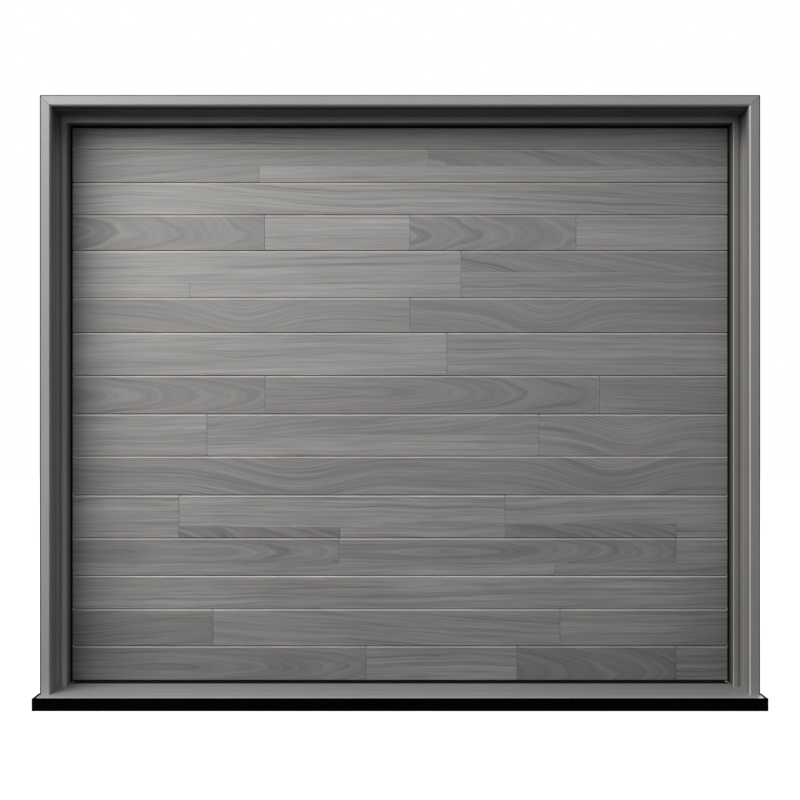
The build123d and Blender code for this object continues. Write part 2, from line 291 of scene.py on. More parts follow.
def paint_finish(name, level, reveal, liner=False):
    """Satin grey paint: faint brush lines along the bar, soft mottling, orange-peel relief, arrises
    rubbed pale under a painted highlight, and a dark hairline where two bars meet at the mitre.

    The mitre is where the distance beyond the opening's side equals the distance above its head.
    Painted shade darkens the bars by depth: reveal lists (depth, share of the tone) from the front
    back, joined by smooth steps, and the liner gets more painted shade under the head. More painted
    light and shade follows the side and the height of each bar."""
    mitre_width, mitre_depth, opening_half = 0.0026, 0.034, 1.28
    f = Finish(name)
    x, y, z = f.parts_of(f.place)
    low, high = corners("casing_right")
    mottle = f.noise(f.place, 5.0, 3.0)
    out = f.calc("SUBTRACT", f.calc("ABSOLUTE", x), float(low[0]))
    up = f.calc("SUBTRACT", z, float(high[2] - (high[0] - low[0])))
    beyond = f.calc("SUBTRACT", out, up)
    upright = f.ramp(beyond, -0.001, 0.001)
    brushed = f.calc("ADD", f.times(f.noise(f.place, (160.0, 160.0, 2.0)), upright),
                     f.times(f.noise(f.place, (2.0, 160.0, 160.0)), f.calc("SUBTRACT", 1.0, upright)))
    peel = f.noise(f.place, 900.0, 2.0)
    edge = f.edges(0.0020)
    scuffed = f.ramp(f.noise(f.place, 60.0, 4.0, 0.7), 0.45, 0.7)
    mitre = f.times(f.line(beyond, 0.0, mitre_width), f.calc("GREATER_THAN", up, -0.001))
    mitre = f.times(mitre, f.calc("LESS_THAN", y, mitre_depth))
    tone = f.swing(mottle, 0.12, 1.0)
    tone = f.swing(brushed, 0.08, tone)
    # Arrises get a painted highlight, with pale scuffs where they are worn
    tone = f.plus(edge, 0.45, tone)
    tone = f.plus(f.times(edge, scuffed), 0.25, tone)
    tone = f.plus(mitre, -0.85, tone)
    # Painted highlight on the slanting faces of the right-hand bars, and painted shade on the left ones
    turn = f.parts_of(f.add("ShaderNodeNewGeometry").outputs["Normal"])
    slanting = f.ramp(f.calc("ABSOLUTE", f.times(turn[0], turn[1])), 0.30, 0.45)
    tone = f.plus(slanting, f.ramp(x, -0.6, 0.6, -0.45, 0.50), tone)
    # Painted shade by depth in the reveal
    for (start, before), (stop, after) in zip(reveal, reveal[1:]):
        tone = f.times(tone, f.ramp(y, start, stop, 1.0, after / before))
    # From here on the inner frame: painted light on its left part and at the head, painted shade on its
    # right part, and painted shade in the corner where its face meets the liner
    inner = f.ramp(y, 0.06, 0.12)
    tone = f.times(tone, f.plus(inner, f.ramp(x, -opening_half, opening_half, 0.30, -0.17), 1.0))
    tone = f.times(tone, f.plus(inner, f.ramp(z, 2.14, 2.175, 0.0, 0.10), 1.0))
    corner = f.ramp(f.calc("ABSOLUTE", x), 1.2720, 1.2752, 0.0, -0.45)
    tone = f.times(tone, f.plus(inner, corner, 1.0))
    if liner:
        # Painted shade under the head, and painted light on the right-hand liner
        painted_head_shade = f.ramp(f.swing(mottle, 0.03, z), 2.02, 2.19, 1.0, 0.36)
        tone = f.times(f.times(tone, painted_head_shade), f.ramp(x, -1.2, 1.2, 1.0, 1.28))
    else:
        # Painted light on the head bar and on the lower part of the left one, painted shade on its upper
        # part
        left = f.calc("SUBTRACT", 1.0, f.ramp(x, -0.6, 0.6))
        tone = f.times(tone, f.plus(f.calc("SUBTRACT", 1.0, upright), 0.14, 1.0))
        tone = f.times(tone, f.plus(f.ramp(z, 0.4, 2.0, 0.13, -0.15), left, 1.0))
    f.relief(f.plus(brushed, 0.4, peel), 0.08, 0.0003)
    # The road film is a little brown
    warm = f.plus(f.ramp(y, 0.006, 0.05), 0.030, f.ramp(x, -1.3, 1.3, 0.999, 1.014))
    tint = (warm, 1.0, f.calc("SUBTRACT", 1.999, warm))
    return f.done(tone, level, tint, f.ramp(mottle, 0.3, 0.7, 0.46, 0.58), shine=0.3)


def sill_finish():
    """Brushed aluminium dulled by feet: long scratches across the opening, scuffed patches, bright
    arrises, a painted highlight along the nose and painted shade that deepens towards the leaf."""
    f = Finish("brushed_sill_metal")
    brushed = f.noise(f.place, (4.0, 500.0, 500.0), 3.0, 0.6)
    scuffed = f.ramp(f.noise(f.place, (2.2, 22.0, 22.0), 4.0, 0.6), 0.42, 0.66)
    scratch = f.ramp(f.noise(f.place, (16.0, 210.0, 210.0), 2.0), 0.66, 0.74)
    tone = f.swing(brushed, 0.20, 1.0)
    tone = f.plus(scuffed, -0.10, tone)
    tone = f.plus(scratch, 0.16, tone)
    tone = f.plus(f.edges(0.0020), 0.45, tone)
    depth = f.parts_of(f.place)[1]
    # Painted shade: darker from the front back towards the leaf
    tone = f.times(tone, f.ramp(depth, -0.028, 0.160, 1.06, 0.88))
    # Painted highlight along the nose
    tone = f.times(tone, f.ramp(depth, -0.029, -0.026, 1.28, 1.0))
    f.relief(f.plus(scratch, -0.6, brushed), 0.22, 0.0002)
    return f.done(tone, 0.375, (1.010, 1.0, 0.975), f.ramp(scuffed, 0.0, 1.0, 0.44, 0.60),
                  shine=0.4, metal=0.2)


def plinth_finish():
    """Black coated plinth: grit in the coating, chipped arrises and a thin film of dust."""
    f = Finish("black_plinth_coating")
    grit = f.noise(f.place, 800.0, 3.0, 0.7)
    film = f.ramp(f.noise(f.place, (3.0, 8.0, 20.0), 4.0), 0.45, 0.75)
    chips = f.times(f.edges(0.002), f.ramp(f.noise(f.place, 45.0, 3.0, 0.7), 0.55, 0.66))
    tone = f.plus(film, 0.5, f.plus(grit, 0.5, 0.6))
    tone = f.plus(chips, 4.0, tone)
    f.relief(f.plus(chips, -0.8, grit), 0.3, 0.0004)
    return f.done(tone, 0.0012, (1.0, 1.0, 1.0), f.ramp(film, 0.0, 1.0, 0.66, 0.82),
                  shine=0.03)


def rubber_finish():
    """Black extruded rubber: fine pores, dust and greyer arrises."""
    f = Finish("black_extruded_rubber")
    pores = f.noise(f.place, 1500.0, 2.0, 0.7)
    dust = f.ramp(f.noise(f.place, 14.0, 4.0, 0.6), 0.5, 0.8)
    tone = f.plus(dust, 0.7, f.plus(pores, 0.4, 0.8))
    tone = f.plus(f.edges(0.0008), 0.7, tone)
    f.relief(pores, 0.25, 0.0003)
    return f.done(tone, 0.008, (1.0, 1.0, 1.0), f.ramp(dust, 0.0, 1.0, 0.58, 0.8), shine=0.2)


def zinc_finish():
    """Hot-dipped zinc: spangles of two sizes, each with its own tone and gloss, white bloom in
    patches and bright rubbed arrises."""
    f = Finish("galvanised_spangle")
    wobble = f.add("ShaderNodeTexNoise")
    wobble.inputs["Scale"].default_value = 60.0
    f.put(wobble.inputs["Vector"], f.place)
    bent = f.add("ShaderNodeVectorMath", operation="MULTIPLY_ADD")
    f.put(bent.inputs[0], wobble.outputs["Color"])
    bent.inputs[1].default_value = (0.006, 0.006, 0.006)
    f.put(bent.inputs[2], f.place)
    sizes = []
    for scale in (95.0, 240.0):
        cells = f.add("ShaderNodeTexVoronoi")
        cells.inputs["Scale"].default_value = scale
        f.put(cells.inputs["Vector"], bent.outputs[0])
        sizes.append(f.parts_of(cells.outputs["Color"]))
    large, small = sizes
    bloom = f.ramp(f.noise(f.place, 4.5, 5.0, 0.6), 0.5, 0.72)
    grain = f.noise(f.place, 700.0, 2.0)
    tone = f.swing(large[0], 0.22, 1.0)
    tone = f.swing(small[1], 0.14, tone)
    tone = f.plus(bloom, 0.14, tone)
    tone = f.plus(f.edges(0.0012), 0.22, tone)
    f.relief(f.plus(large[2], 0.3, grain), 0.12, 0.0002)
    gloss = f.plus(large[1], 0.16, f.plus(bloom, 0.2, 0.34))
    return f.done(tone, 0.42, (0.985, 1.0, 1.02), gloss, metal=0.30)


def nylon_finish():
    """Off-white nylon, greyed by running in its channel: rings of wear round the roller's axis."""
    f = Finish("worn_roller_nylon")
    rings = f.noise(f.place, (1300.0, 30.0, 30.0))
    dirt = f.ramp(f.noise(f.place, 40.0, 4.0, 0.65), 0.45, 0.7)
    tone = f.swing(f.noise(f.place, 90.0, 3.0), 0.12, 1.0)
    tone = f.swing(rings, 0.20, tone)
    tone = f.plus(dirt, -0.30, tone)
    tone = f.plus(f.edges(0.001), 0.12, tone)
    f.relief(rings, 0.2, 0.0002)
    return f.done(tone, 0.55, (1.0, 0.98, 0.92), f.ramp(dirt, 0.0, 1.0, 0.36, 0.62))


def bolt_finish():
    """Zinc-plated fasteners: turned marks, a grey film and rubbed corners."""
    f = Finish("zinc_plated_bolts")
    film = f.ramp(f.noise(f.place, 120.0, 3.0, 0.6), 0.4, 0.7)
    turned_marks = f.noise(f.place, 1800.0)
    tone = f.plus(film, -0.25, f.plus(turned_marks, 0.2, 0.9))
    tone = f.plus(f.edges(0.0006), 0.25, tone)
    f.relief(turned_marks, 0.15, 0.0001)
    return f.done(tone, 0.50, (1.0, 1.0, 0.96), f.ramp(film, 0.0, 1.0, 0.30, 0.50), metal=0.85)


def weld_finish():
    """Weld beads under cold zinc paint: dull grey with a brown heat stain and soot in the ripples."""
    f = Finish("painted_weld_bead")
    ripple = f.noise(f.place, 420.0, 3.0, 0.6)
    stain = f.ramp(f.noise(f.place, 60.0, 3.0), 0.4, 0.65)
    tone = f.swing(ripple, 0.5, f.plus(stain, -0.22, 1.0))
    tone = f.plus(f.edges(0.0006), 0.15, tone)
    f.relief(ripple, 0.4, 0.0004)
    return f.done(tone, 0.26, (1.04, 1.0, 0.94), f.ramp(stain, 0.0, 1.0, 0.52, 0.7), metal=0.4)


# Painted shade by depth, as shares of the tone: past the casing's chamfer, and from the inner
# frame's arris to the leaf; the liner is painted lightest in its deeper half and darker at its
# joint with the inner frame
CASING_REVEAL_SHADE = ((0.0050, 1.0), (0.0075, 0.62), (0.0340, 0.62), (0.0600, 1.0), (0.1240, 1.0),
                 (0.1270, 0.46), (0.1750, 0.12))
LINER_REVEAL_SHADE = ((0.0330, 0.80), (0.0550, 0.70), (0.0850, 1.0), (0.1140, 1.25), (0.1210, 0.60))

FINISHES = {
    "grey_timber": timber_finish(),
    "grey_paint": paint_finish("satin_grey_casing_paint", 0.360, CASING_REVEAL_SHADE),
    "sill_metal": sill_finish(),
    "plinth_black": plinth_finish(),
    "black_rubber": rubber_finish(),
    "roller_nylon": nylon_finish(),
    "galvanised_steel": zinc_finish(),
}
# The liner's paint is a darker copy of the casing's, as painted shade for the reveal
LINER_PAINT = paint_finish("satin_grey_liner_paint", 0.240, LINER_REVEAL_SHADE, liner=True)
BOLTS = bolt_finish()
WELDS = weld_finish()

for part in frame["record"]["subparts"]:
    finish = LINER_PAINT if part["node"].startswith("liner") else FINISHES[part["material_slot"]]
    for holder in frame["nodes"][part["node"]].material_slots:
        holder.material = finish


# Timber boards

LEAF_LOW, LEAF_HIGH = corners("leaf_boards")
END = float(LEAF_HIGH[0])
# The courses' heights from the top down, scaled to fill the leaf
COURSES = np.array((80.5, 128, 123, 137, 179.5, 133.5, 164, 146.5, 161, 148.5, 164, 143.5, 127,
                    141.5, 129))
COURSES = COURSES / COURSES.sum() * (LEAF_HIGH[2] - LEAF_LOW[2])
COURSE_TOPS = LEAF_HIGH[2] - np.concatenate([[0.0], np.cumsum(COURSES)])
# Bevels along a course's upper and lower edge, the groove between two courses, the ease of every
# other arris, and half the joint between two boards of a course, side by side and end to end
TOP_BEVEL, FOOT_BEVEL, GAP, EASE = 0.0041, 0.0020, 0.0023, 0.0006
HALF_STRIP_JOINT, HALF_BUTT_JOINT = 0.0002, 0.0003
# A tongue's thickness, and how close its edge comes to the board below
TONGUE, TONGUE_PLAY = 0.010, 0.0001
# Points across a board's face, the width of the strip along it that is rubbed, the distance between
# the stations along it, that from an end to the first of the even ones, and their least number
FACE_POINTS, RUBBED_STRIP, STATION, FIRST_STATION, FEWEST_STATIONS = 9, 0.001, 0.022, 0.006, 6
# A point's edge value is 1 on a face and 0 on an arris that is rubbed; this is it at the back
HIDDEN_ARRIS = 0.3
# Share of the bevels' painted highlight that the ease between two strips of a course gets
STRIP_HIGHLIGHT = 0.15
# Share of a board's shade that its end grain keeps
END_GRAIN = 0.62
# Each board's noise is drawn from a place of its own, a step further on than the last board's
SEED_START, SEED_STEP = 1.3, 3.7
# Courses whose foot bevel gets the painted highlight as well, so that their groove shows light on
# both sides
HIGHLIGHT_FOOTED = (0, 4, 8, 12)

# Ways that a board was sawn. heart: height of the tree's heart above the course's middle.
# depth: how far the heart lies behind the face. taper: how much the rings drift along the board;
# a positive taper points the arches to the right. figure: strength of the rings.
# waves: places where the grain lifts, each as (x, half width, lift).
# sinks: how fast the heart leaves the face past the place sinks_from, so that straight grain
# closes into arches that point to the right.
STRAIGHT = {"heart": 0.26, "depth": 0.05, "taper": 0.010, "figure": 0.2, "waves": (),
            "sinks": 0.0, "sinks_from": 0.0}
# Length over which the heart begins to sink
SINK_BEND = 0.06


def sawn(base, **changes):
    """A way of sawing with some of its values changed."""
    return {**base, **changes}


SLOPING = sawn(STRAIGHT, heart=0.24, taper=-0.030, figure=0.35)
RISING = sawn(STRAIGHT, heart=0.22, depth=0.06, taper=0.11, figure=0.8)
ARCHED = sawn(STRAIGHT, heart=0.0, depth=0.14, taper=0.115, figure=1.0)
LOW_ARCHED = sawn(STRAIGHT, heart=-0.05, depth=0.10, taper=0.13, figure=1.0)
CLOSING = sawn(STRAIGHT, heart=0.0, depth=0.012, taper=0.0, figure=0.9, sinks=0.11)


# Boards: course from the top, left and right end, low and high edge as a share of the course,
# the way it was sawn and its shade
BOARDS = (
    (0, -END, END, 0, 1, sawn(STRAIGHT, figure=0.15), 0.97),
    (1, -END, -0.538, 0, 0.5, sawn(RISING, taper=0.10), 0.97),
    (1, -0.538, END, 0, 0.5, STRAIGHT, 1.04),
    (1, -END, 0.110, 0.5, 1, sawn(RISING, taper=0.08), 0.98),
    (1, 0.110, END, 0.5, 1, sawn(ARCHED, heart=-0.03, taper=0.10), 0.96),
    (2, -END, END, 0, 1, sawn(SLOPING, waves=((-0.9, 0.4, 0.03), (0.5, 0.6, 0.02))), 1.04),
    (3, -END, -0.517, 0, 1, sawn(ARCHED, depth=0.16, taper=0.085), 0.95),
    (3, -0.517, 0.038, 0, 1, STRAIGHT, 1.03),
    (3, 0.038, 0.672, 0, 1, sawn(ARCHED, depth=0.15, taper=0.09), 0.95),
    (3, 0.672, END, 0, 1, STRAIGHT, 1.03),
    (4, -END, -0.802, 0, 0.30, STRAIGHT, 1.05),
    (4, -0.802, 0.233, 0, 0.30, sawn(STRAIGHT, taper=0.004), 1.06),
    (4, -END, 0.233, 0.30, 1, sawn(SLOPING, taper=0.015), 1.04),
    (4, 0.233, END, 0, 0.55, sawn(STRAIGHT, figure=0.3), 0.97),
    (4, 0.233, END, 0.55, 1, sawn(LOW_ARCHED, heart=-0.09, taper=0.16), 0.93),
    (5, -END, 0.038, 0, 1, sawn(SLOPING, figure=0.9, waves=((-0.611, 0.20, -0.07),)), 0.97),
    (5, 0.038, END, 0, 1, sawn(SLOPING, figure=0.9, waves=((0.553, 0.18, -0.08),)), 0.94),
    (6, -END, 0.179, 0, 1, STRAIGHT, 1.06),
    (6, 0.179, END, 0, 1, sawn(STRAIGHT, taper=-0.012), 1.02),
    (7, -END, -0.515, 0, 1, sawn(CLOSING, depth=0.06, sinks=0.085, sinks_from=-1.25), 0.93),
    (7, -0.515, 0.762, 0, 1, sawn(CLOSING, heart=0.01, sinks=0.12, sinks_from=-0.10), 0.92),
    (7, 0.762, END, 0, 1, sawn(SLOPING, figure=0.6), 0.95),
    (8, -END, -0.737, 0, 1, sawn(STRAIGHT, taper=0.02), 1.03),
    (8, -0.737, 0.531, 0.52, 1, sawn(RISING, heart=0.1, taper=0.07), 0.97),
    (8, -0.737, 0.531, 0, 0.52, STRAIGHT, 1.05),
    (8, 0.531, END, 0, 1, sawn(SLOPING, figure=0.5, waves=((0.88, 0.16, -0.06),)), 0.99),
    (9, -END, END, 0, 1, sawn(SLOPING, figure=0.9, waves=((-0.42, 0.24, -0.07), (0.80, 0.2, -0.08))),
     0.955),
    (10, -END, -0.844, 0, 1, STRAIGHT, 1.04),
    (10, -0.844, 0.401, 0.26, 1, sawn(STRAIGHT, taper=-0.01), 1.03),
    (10, -0.844, -0.229, 0, 0.26, sawn(LOW_ARCHED, heart=-0.11), 0.88),
    (10, -0.229, 0.401, 0, 0.26, STRAIGHT, 1.04),
    (10, 0.401, END, 0.33, 1, sawn(SLOPING, taper=0.03), 1.02),
    (10, 0.401, 1.054, 0, 0.33, sawn(LOW_ARCHED, heart=-0.11), 0.88),
    (10, 1.054, END, 0, 0.33, STRAIGHT, 1.0),
    (11, -END, -0.233, 0.33, 1, sawn(CLOSING, heart=0.02, sinks_from=-0.72), 0.92),
    (11, -0.233, 1.054, 0.33, 1, sawn(CLOSING, heart=0.02, sinks_from=0.34), 0.92),
    (11, 1.054, END, 0.33, 1, STRAIGHT, 1.02),
    (11, -END, 0.592, 0, 0.33, STRAIGHT, 1.0),
    (11, 0.592, END, 0, 0.33, STRAIGHT, 0.96),
    (12, -END, END, 0, 1, sawn(SLOPING, taper=0.012), 1.01),
    (13, -END, -0.714, 0, 1, sawn(RISING, heart=0.15, taper=0.07), 0.93),
    (13, -0.714, 0.611, 0, 1, sawn(RISING, heart=0.24, taper=-0.06), 1.02),
    (13, 0.611, END, 0, 1, sawn(STRAIGHT, taper=0.02), 1.0),
    (14, -END, -0.130, 0, 1, sawn(CLOSING, heart=-0.016, sinks_from=-0.74), 0.92),
    (14, -0.130, 0.447, 0, 1, STRAIGHT, 1.03),
    (14, 0.447, 1.054, 0, 1, sawn(LOW_ARCHED, heart=-0.03), 0.90),
    (14, 1.054, END, 0, 1, STRAIGHT, 1.02),
)


def board_shape(number, course, left, right, low_share, high_share, cut, shade):
    """One board: its section is carried along X, and both ends close with a cap.

    The section is a face with a bevel along each edge that is the course's own, or a small ease
    where two strips meet. The stations near an end draw the face back by the same ease. The heart's
    depth grows along the board as sinks times a bend times the logarithm of one plus the
    exponential of the distance past sinks_from over that bend: level before, straight after."""
    height, foot = COURSES[course], COURSE_TOPS[course + 1]
    low_gap = GAP / 2 if course < len(COURSES) - 1 else 0.0
    high_gap = GAP / 2 if course > 0 else 0.0
    low = foot + (low_gap if low_share == 0 else low_share * height + HALF_STRIP_JOINT)
    high = foot + (height - high_gap if high_share == 1 else high_share * height - HALF_STRIP_JOINT)
    left = left if left == -END else left + HALF_BUTT_JOINT
    right = right if right == END else right - HALF_BUTT_JOINT
    bevelled_foot = low_share == 0 and course < len(COURSES) - 1
    low_ease = FOOT_BEVEL if bevelled_foot else EASE
    high_ease = TOP_BEVEL if high_share == 1 else EASE
    front, back = LEAF_LOW[1], LEAF_HIGH[1]
    face = np.linspace(low + low_ease, high - high_ease, FACE_POINTS)
    face[1], face[-2] = face[0] + RUBBED_STRIP, face[-1] - RUBBED_STRIP
    section_z = np.concatenate([[low, low], face, [high, high]])
    section_y = np.concatenate([[back, front + low_ease], np.full(FACE_POINTS, front),
                                [front + high_ease, back]])
    section_edge = np.concatenate([[HIDDEN_ARRIS, 0.0, 0.0], np.full(FACE_POINTS - 2, 1.0),
                                   [0.0, 0.0, HIDDEN_ARRIS]])
    # Painted highlight: full on the top bevel, a share on an ease, and on some courses' foot bevel
    section_highlight = np.zeros(FACE_POINTS + 4)
    section_highlight[-3:-1] = 1.0 if high_share == 1 else STRIP_HIGHLIGHT
    section_highlight[1:3] = 1.0 if bevelled_foot and course in HIGHLIGHT_FOOTED else 0.0
    if bevelled_foot:
        # A tongue closes the groove from behind
        tongue_z, tongue_y = low - GAP + TONGUE_PLAY, back - TONGUE
        section_z = np.concatenate([[tongue_z, tongue_z], section_z])
        section_y = np.concatenate([[back, tongue_y, tongue_y], section_y[1:]])
        section_edge = np.concatenate([[HIDDEN_ARRIS, HIDDEN_ARRIS], section_edge])
        section_highlight = np.concatenate([[0.0, 0.0], section_highlight])
    stations = max(FEWEST_STATIONS, int((right - left) / STATION))
    inside = np.linspace(left + FIRST_STATION, right - FIRST_STATION, stations)
    along = np.concatenate([[left, left + EASE], inside, [right - EASE, right]])
    pull = np.concatenate([[EASE, 0.0], np.zeros(len(inside)), [0.0, EASE]])
    x, z = np.meshgrid(along, section_z, indexing="ij")
    y = np.maximum(section_y[None, :], front + pull[:, None])
    rows, columns = x.shape
    points = np.stack([x, y, z], -1).reshape(-1, 3)
    faces = list(tile(rows, columns, closed=True))
    faces += [np.arange(columns)[::-1], (rows - 1) * columns + np.arange(columns)]
    lift = sum((up * np.exp(-((x - at) / half) ** 2) for at, half, up in cut["waves"]), np.zeros_like(x))
    across = z - (foot + height / 2) - cut["heart"] - lift
    ones = np.ones_like(x)
    edge = section_edge[None, :] * ones
    edge[0], edge[-1] = 1.0, 1.0
    edge[1] = 1.0 if left == -END else 0.0
    edge[-2] = 1.0 if right == END else 0.0
    # The end grain drinks more stain
    stain = shade * ones
    stain[0], stain[-1] = END_GRAIN * shade, END_GRAIN * shade
    # The painted bevel highlight stays off the board's ends
    pale = section_highlight[None, :] * ones
    pale[:2], pale[-2:] = 0.0, 0.0
    past = (x - cut["sinks_from"]) / SINK_BEND
    depth = cut["depth"] + cut["sinks"] * SINK_BEND * np.logaddexp(0.0, past)
    grain_cut = np.stack([x, across, depth], -1)
    board_tone = np.stack([cut["taper"] * x, stain, (number * SEED_STEP + SEED_START) * ones], -1)
    board_look = np.stack([cut["figure"] * ones, edge, pale], -1)
    return points, faces, grain_cut.reshape(-1, 3), board_tone.reshape(-1, 3), board_look.reshape(-1, 3)


def make_boards():
    """All boards as one mesh: every point carries how its board was cut, its shade, its wear and the
    painted highlight on its bevels.
    """
    made = [board_shape(number, *row) for number, row in enumerate(BOARDS)]
    points, faces = gather([(shape[0], shape[1]) for shape in made])
    boards = make_piece("timber_boards", points, faces, FINISHES["grey_timber"], "leaf",
                        smooth=False)
    for name, index in (("grain_cut", 2), ("board_tone", 3), ("board_look", 4)):
        point_values(boards, name, np.concatenate([shape[index] for shape in made]))
    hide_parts("leaf_boards")


# Fasteners, brushes and welds

# Bolts by their hexagon's width across flats, its height and the washer's radius
BRACKET_BOLT = (0.013, 0.0055, 0.0105)
ANCHOR_BOLT = (0.017, 0.0084, 0.0132)
LINTEL_BOLT = (0.017, 0.0064, 0.015)
# How far an anchor's stud stands out, its thickness and point as shares of the width across flats,
# and the point's length
ANCHOR_STUD, STUD_RADIUS, STUD_POINT, STUD_TAPER = 0.022, 0.29, 0.22, 0.001
# Where a hexagon's chamfer begins and how wide its top is, as shares of its height and radius
CHAMFER_START, CHAMFER_TOP = 0.84, 0.88
WASHER, WASHER_EASE = 0.0018, 0.0006
# Screws by their head's radius and rise, the angle in radians at which a head's top is cut flat, and
# the power of the cosine that its radius follows
COVER_SCREW = (0.0045, 0.0022)
CHANNEL_SCREW = (0.0050, 0.0005)
FLAT_TOP, HEAD_POWER = 1.35, 0.6
# Sides of a washer, a stud and a screw's head, steps of a head's profile, and of a rounded section
WASHER_SIDES, STUD_SIDES, HEAD_SIDES, HEAD_STEPS, ROUND_STEPS = 28, 16, 12, 5, 7
# Where bolts and screws sit: the bracket's plate, half the distance between two bolts of a bracket
# and of a foot plate, how far a cover's screws lie from its edge, and the channel's wall
BRACKET_PLATE, BRACKET_HALF, ANCHOR_HALF, COVER_EDGE, CHANNEL_WALL = 0.010, 0.0335, 0.020, 0.012, 0.003
COVER_SCREW_HEIGHTS = np.linspace(0.15, 2.10, 6)
# The channel's number of screws, its lowest one, and how far its highest one lies below its end
CHANNEL_SCREWS, CHANNEL_LOWEST, CHANNEL_BELOW_END = 6, 0.16, 0.10
LINTEL_BOLTS = (-1.2, -0.4, 0.4, 1.2)
# The leaf's screws: their columns right and left of the middle, and their heights in each course as
# shares of it
LEAF_SCREW_COLUMNS = (0.08, 0.30, 0.52, 0.69, 0.94, 1.17)
LEAF_SCREW_SHARES = (0.25, 0.75)
# A leaf screw stays this far from the leaf's upper and lower edge, where the rails are
RAIL_ZONE = 0.047
# Brush strips: half their thickness, how far they stand behind the frame's seal, how far their tips
# stay off the leaf, how they waver and how deep their roots sit; the stations along them, the share
# of their reach that is rounded, and the turns of their two waves in radians per metre
BRUSH_HALF, BRUSH_BEHIND, BRUSH_OFF, BRUSH_WAVER, BRUSH_ROOT = 0.0025, 0.015, 0.002, 0.0002, 0.001
BRUSH_STATIONS, BRUSH_ROUNDED, BRUSH_TURNS = 600, 0.35, (410, 1170)
# Weld beads: their size, how far off the sheet they start and past the boards' back they end; how
# much their ripples swell, the ripples' turn in radians over a bead's length, the stations along it,
# and the square of the share of its size that its ends keep
BEAD, BEAD_START, BEAD_END = 0.0045, 0.002, 0.038
RIPPLE, RIPPLE_TURN, BEAD_STATIONS, END_SHARE = 0.12, 50, 33, 0.02


def turned(profile, sides, centre, axis):
    """A turned piece: each profile point (radius, distance) goes round the axis as a ring, and
    both ends close with a flat cap. A ring starts square to both the axis and a slanting
    direction, along which no axis here runs."""
    slanting = (0.31, 0.77, 0.55)
    axis = np.array(axis, float)
    first = np.cross(axis, slanting)
    first /= np.linalg.norm(first)
    second = np.cross(axis, first)
    angle = np.arange(sides) * 2 * np.pi / sides
    radius, distance = np.array(profile, float).T
    ring = np.cos(angle)[:, None] * first + np.sin(angle)[:, None] * second
    points = (np.array(centre) + distance[:, None, None] * axis
              + radius[:, None, None] * ring[None]).reshape(-1, 3)
    faces = list(tile(len(profile), sides, closed=True)[:, ::-1])
    faces.append(np.arange(sides)[::-1])
    faces.append((len(profile) - 1) * sides + np.arange(sides))
    return points, faces


def hexagon_bolt(centre, axis, flats, height, washer, stud=0.0):
    """A round washer, a hexagon with a chamfered top, and a stud's end where there is one."""
    centre, axis = np.array(centre, float), np.array(axis, float)
    disc = turned([(washer, 0.0), (washer, WASHER - WASHER_EASE), (washer - WASHER_EASE, WASHER)],
                  WASHER_SIDES, centre, axis)
    radius = flats / np.sqrt(3)
    head = turned([(radius, 0.0), (radius, height * CHAMFER_START), (radius * CHAMFER_TOP, height)], 6,
                  centre + WASHER * axis, axis)
    if not stud:
        return [disc, head]
    thick, point = flats * STUD_RADIUS, flats * STUD_POINT
    end = turned([(thick, height), (thick, stud - STUD_TAPER), (point, stud)], STUD_SIDES, centre, axis)
    return [disc, head, end]


def pan_head(centre, axis, radius, rise):
    """A screw's pan head: its radius falls with the cosine raised to a power under one, so that it
    stays full for longer, and its height grows with the sine."""
    angle = np.linspace(0, FLAT_TOP, HEAD_STEPS)
    profile = np.stack([radius * np.cos(angle) ** HEAD_POWER, rise * np.sin(angle)], -1)
    return turned(profile, HEAD_SIDES, centre, axis)


def weld_bead(start, end, side, up, size):
    """A fillet weld in a corner: a quarter-round section between the directions side and up is
    carried from start to end. Its size ripples with the sine of the distance, and closes at both
    ends by the root of one minus the eighth power of the distance from the middle."""
    start, end, side, up = (np.array(v, float) for v in (start, end, side, up))
    t = np.linspace(0, 1, BEAD_STATIONS)
    swell = size * (1 + RIPPLE * np.sin(t * RIPPLE_TURN))
    swell = swell * np.sqrt(np.clip(1 - (2 * t - 1) ** 8, END_SHARE, 1))
    angle = np.linspace(0, np.pi / 2, ROUND_STEPS)
    section = np.concatenate([[side * 0], np.cos(angle)[:, None] * side + np.sin(angle)[:, None] * up])
    points = start + t[:, None, None] * (end - start) + swell[:, None, None] * section[None]
    around = np.arange(len(section))
    faces = list(tile(len(t), len(section), closed=True)[:, ::-1])
    faces += [around[::-1], (len(t) - 1) * len(section) + around]
    if np.dot(np.cross(side, up), end - start) < 0:
        faces = [face[::-1] for face in faces]
    return points.reshape(-1, 3), faces


